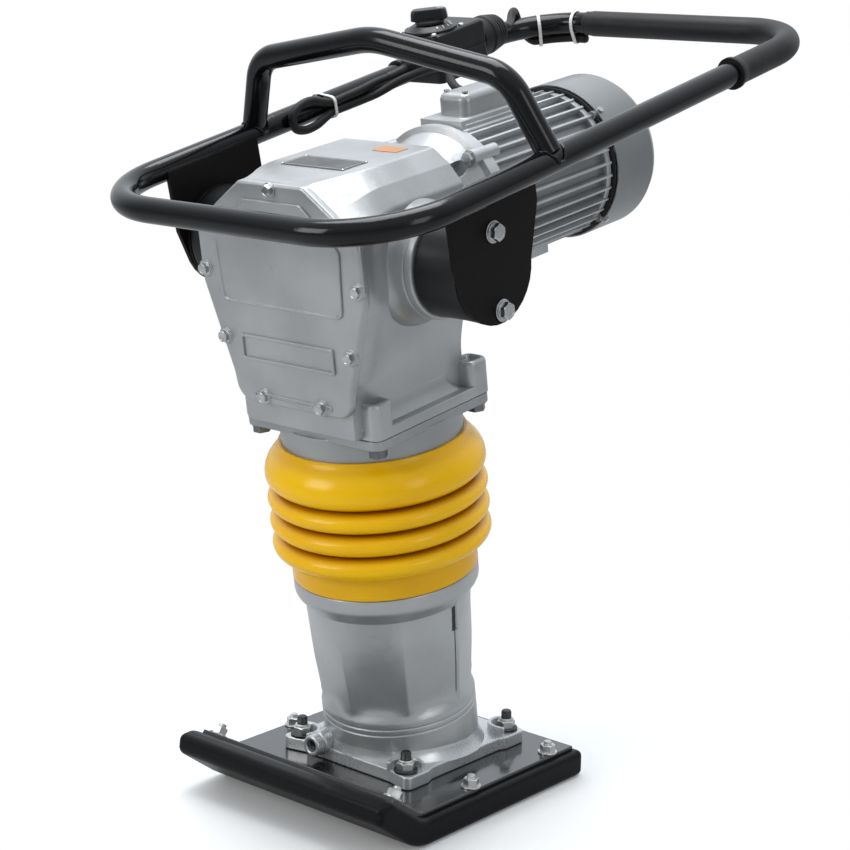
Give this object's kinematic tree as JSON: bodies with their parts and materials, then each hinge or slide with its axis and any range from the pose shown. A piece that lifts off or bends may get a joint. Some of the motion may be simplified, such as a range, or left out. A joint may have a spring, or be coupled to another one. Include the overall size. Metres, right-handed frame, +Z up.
{
  "type": "tamping rammer",
  "caption": "Upright tamping rammer: a curled foot on a sprung leg with yellow bellows, a finned electric motor on the crankcase and a looped black tube handle.",
  "frame": {"origin": "on the floor under the middle of the foot plate", "axes": "+Z up, -Y towards the curled toe and the front cover, +Y towards the motor, +X across the foot"},
  "size_m": [0.4483, 0.7749, 0.8568],
  "materials": {
    "sole_slab": "black pressed slab, dull, scuffed along its edges",
    "shoe_plate": "black paint over steel, semi-gloss",
    "sole_bolts": "zinc-plated steel",
    "leg_housing": "silver-painted cast aluminium, fine cast grain",
    "leg_studs": "blackened steel",
    "leg_nuts": "zinc-plated steel",
    "leg_washers": "black rubber-faced washers",
    "drain_plug": "plain steel",
    "spring_tube": "ground steel",
    "spring_cap": "turned steel",
    "lower_spring": "oiled spring steel",
    "upper_spring": "oiled spring steel",
    "spring_piston": "turned steel",
    "piston_rod": "ground steel",
    "crosshead": "ground steel",
    "stop_ring": "black rubber",
    "bellows": "glossy amber yellow, slightly translucent at the ridges",
    "guide_cylinder": "silver-painted cast aluminium",
    "guide_bush": "bronze bush",
    "flange_bolts": "zinc-plated steel",
    "crankcase": "silver-painted cast aluminium, fine cast grain",
    "cover_gasket": "dark gasket sheet",
    "front_cover": "silver-painted cast aluminium",
    "cover_bolts": "zinc-plated flanged bolts",
    "label_plates": "bare plates, one grey and one orange, with no writing",
    "crank_bearings": "bearing steel",
    "motor_shield": "silver-painted cast aluminium",
    "shield_bolts": "zinc-plated steel",
    "motor_frame": "silver-painted cast aluminium fins",
    "stator": "laminated core with varnished copper windings",
    "rear_shield": "cast aluminium",
    "fan_cover": "silver-grey painted sheet",
    "fan_cover_screws": "plain steel screws",
    "terminal_box": "silver-painted cast aluminium",
    "terminal_lid": "silver-painted cast aluminium",
    "terminal_screws": "plain steel screws",
    "rotor_bearings": "bearing steel",
    "rubber_mounts": "black rubber",
    "crank_gear": "oiled gear steel",
    "crank_pin": "ground steel",
    "crank_web": "turned steel",
    "connecting_rod": "forged steel",
    "rod_bearing": "needle cage",
    "wrist_pin": "ground steel",
    "rotor_shaft": "ground steel",
    "rotor_core": "laminated steel",
    "cooling_fan": "black plastic",
    "mount_plates": "black paint",
    "side_brackets": "black paint, semi-gloss",
    "bracket_bolts": "zinc-plated steel",
    "handle_loop": "gloss black paint",
    "lifting_hoop": "gloss black paint",
    "grip_sleeve": "black rubber, satin",
    "zip_ties": "off-white nylon",
    "switch_housing": "black plastic",
    "switch_dial": "dark grey dial, bare",
    "cable_boot": "black rubber",
    "motor_lead": "black rubber sheath",
    "supply_lead": "black rubber sheath",
    "switch_knob": "black plastic"
  },
  "bodies": {
    "foot": {"sole_slab": "sole_slab", "shoe_plate": "shoe_plate", "sole_bolts": "sole_bolts", "leg_housing": "leg_housing", "leg_studs": "leg_studs", "leg_nuts": "leg_nuts", "leg_washers": "leg_washers", "drain_plug": "drain_plug", "spring_tube": "spring_tube", "spring_cap": "spring_cap", "lower_spring": "lower_spring", "upper_spring": "upper_spring", "spring_piston": "spring_piston", "piston_rod": "piston_rod", "crosshead": "crosshead", "stop_ring": "stop_ring", "bellows": "bellows"},
    "upper": {"guide_cylinder": "guide_cylinder", "guide_bush": "guide_bush", "flange_bolts": "flange_bolts", "crankcase": "crankcase", "cover_gasket": "cover_gasket", "front_cover": "front_cover", "cover_bolts": "cover_bolts", "label_plates": "label_plates", "crank_bearings": "crank_bearings", "motor_shield": "motor_shield", "shield_bolts": "shield_bolts", "motor_frame": "motor_frame", "stator": "stator", "rear_shield": "rear_shield", "fan_cover": "fan_cover", "fan_cover_screws": "fan_cover_screws", "terminal_box": "terminal_box", "terminal_lid": "terminal_lid", "terminal_screws": "terminal_screws", "rotor_bearings": "rotor_bearings", "rubber_mounts": "rubber_mounts"},
    "crank": {"crank_gear": "crank_gear", "crank_pin": "crank_pin", "crank_web": "crank_web"},
    "rod": {"connecting_rod": "connecting_rod", "rod_bearing": "rod_bearing", "wrist_pin": "wrist_pin"},
    "rotor": {"rotor_shaft": "rotor_shaft", "rotor_core": "rotor_core", "cooling_fan": "cooling_fan"},
    "handle": {"mount_plates": "mount_plates", "side_brackets": "side_brackets", "bracket_bolts": "bracket_bolts", "handle_loop": "handle_loop", "lifting_hoop": "lifting_hoop", "grip_sleeve": "grip_sleeve", "zip_ties": "zip_ties", "switch_housing": "switch_housing", "switch_dial": "switch_dial", "cable_boot": "cable_boot", "motor_lead": "motor_lead", "supply_lead": "supply_lead"},
    "knob": {"switch_knob": "switch_knob"}
  },
  "joints": [
    {"name": "leg_slide", "type": "slide", "parent": "foot", "child": "upper", "axis": [0, -0.1582, 0.9874], "range_m": [0, 0.05], "stiffness_N_per_m": 12000, "deforming": ["bellows"]},
    {"name": "crank_spin", "type": "hinge", "parent": "upper", "child": "crank", "pos_m": [0, -0.0837, 0.54752], "axis": [0, 0.9874, 0.1582], "continuous": true},
    {"name": "rotor_spin", "type": "hinge", "parent": "upper", "child": "rotor", "pos_m": [0, -0.09643, 0.62701], "axis": [0, 0.9874, 0.1582], "continuous": true},
    {"name": "rod_swing", "type": "hinge", "parent": "crank", "child": "rod", "pos_m": [0, -0.08749, 0.57122], "axis": [0, 0.9874, 0.1582], "continuous": true},
    {"name": "handle_rock", "type": "hinge", "parent": "upper", "child": "handle", "pos_m": [0, -0.09954, 0.61232], "axis": [1, 0, 0], "range_deg": [-3, 3], "stiffness_Nm_per_rad": 1500, "deforming": ["motor_lead"]},
    {"name": "switch_turn", "type": "hinge", "parent": "handle", "child": "knob", "pos_m": [-0.16, 0.20876, 0.82842], "axis": [0, -0.2284, 0.9736], "range_deg": [-60, 60]}
  ],
  "couplings": [
    {"joint": "rotor_spin", "follows": "crank_spin", "ratio": -4.4118},
    {"joint": "rod_swing", "follows": "crank_spin", "ratio": -1}
  ]
}
